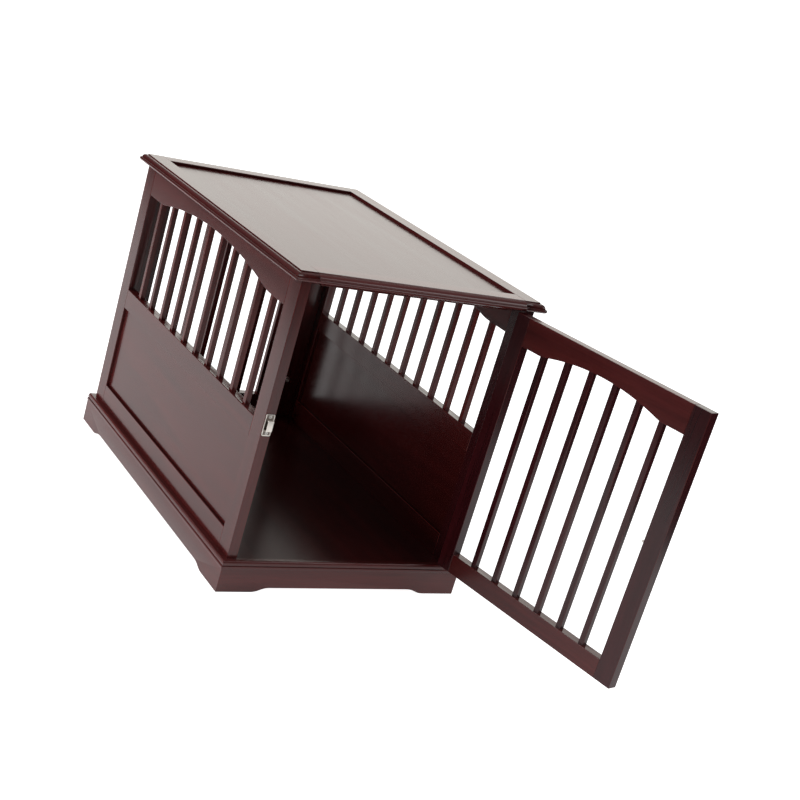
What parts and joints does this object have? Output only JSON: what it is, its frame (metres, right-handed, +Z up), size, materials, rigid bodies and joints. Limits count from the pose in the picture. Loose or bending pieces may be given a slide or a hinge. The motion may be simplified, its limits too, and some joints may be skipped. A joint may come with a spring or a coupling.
{
  "type": "dog crate end table",
  "caption": "Dark wood dog crate shaped as an end table: moulded top, slatted and panelled sides, slatted back, scalloped base, and a hinged slatted door with a barrel bolt.",
  "frame": {"origin": "on the floor, under the middle of the crate's body", "axes": "+Z up, +Y from the doorway to the back, +X to the right when facing the doorway"},
  "size_m": [0.5431, 1.1082, 0.56],
  "materials": {
    "dark_wood": "glossy dark brown-red lacquer",
    "silver_metal": "satin nickel plate"
  },
  "bodies": {
    "crate": {"top_rail_left": "dark_wood", "top_rail_right": "dark_wood", "top_rail_front": "dark_wood", "top_rail_back": "dark_wood", "top_panel": "dark_wood", "top_cleat_left": "dark_wood", "top_cleat_right": "dark_wood", "left_front_post": "dark_wood", "left_back_post": "dark_wood", "left_bottom_rail": "dark_wood", "left_mid_rail": "dark_wood", "left_top_rail": "dark_wood", "left_lower_panel": "dark_wood", "left_slats": "dark_wood", "right_front_post": "dark_wood", "right_back_post": "dark_wood", "right_bottom_rail": "dark_wood", "right_mid_rail": "dark_wood", "right_top_rail": "dark_wood", "right_lower_panel": "dark_wood", "right_slats": "dark_wood", "back_post_left": "dark_wood", "back_post_right": "dark_wood", "back_bottom_rail": "dark_wood", "back_top_rail": "dark_wood", "back_slats": "dark_wood", "skirt_front": "dark_wood", "skirt_back": "dark_wood", "skirt_left": "dark_wood", "skirt_right": "dark_wood", "floor_panel": "dark_wood", "floor_bearer_left": "dark_wood", "floor_bearer_right": "dark_wood", "floor_bearer_front": "dark_wood", "floor_bearer_back": "dark_wood", "floor_bearer_middle": "dark_wood", "door_stop": "dark_wood", "hinge_fixed_leaf_upper": "silver_metal", "hinge_fixed_leaf_lower": "silver_metal", "hinge_pin_upper": "silver_metal", "hinge_pin_lower": "silver_metal", "hinge_fixed_screws": "silver_metal", "latch_keeper": "silver_metal", "keeper_screws": "silver_metal", "cam_discs": "silver_metal", "cam_bolts": "silver_metal", "floor_screws": "silver_metal", "top_cleat_screws": "silver_metal"},
    "door": {"door_hinge_post": "dark_wood", "door_free_post": "dark_wood", "door_top_rail": "dark_wood", "door_bottom_rail": "dark_wood", "door_slats": "dark_wood", "hinge_door_leaf_upper": "silver_metal", "hinge_door_leaf_lower": "silver_metal", "hinge_door_screws": "silver_metal", "latch_plate": "silver_metal", "latch_screws": "silver_metal"},
    "bolt": {"latch_bolt": "silver_metal"}
  },
  "joints": [
    {"name": "door_hinge", "type": "hinge", "parent": "crate", "child": "door", "pos_m": [0.209, -0.3433, 0.301], "axis": [0, 0, 1], "range_deg": [-101.5, 78.5]},
    {"name": "bolt_slide", "type": "slide", "parent": "door", "child": "bolt", "axis": [0.1994, -0.9799, 0], "range_m": [0, 0.016]}
  ]
}
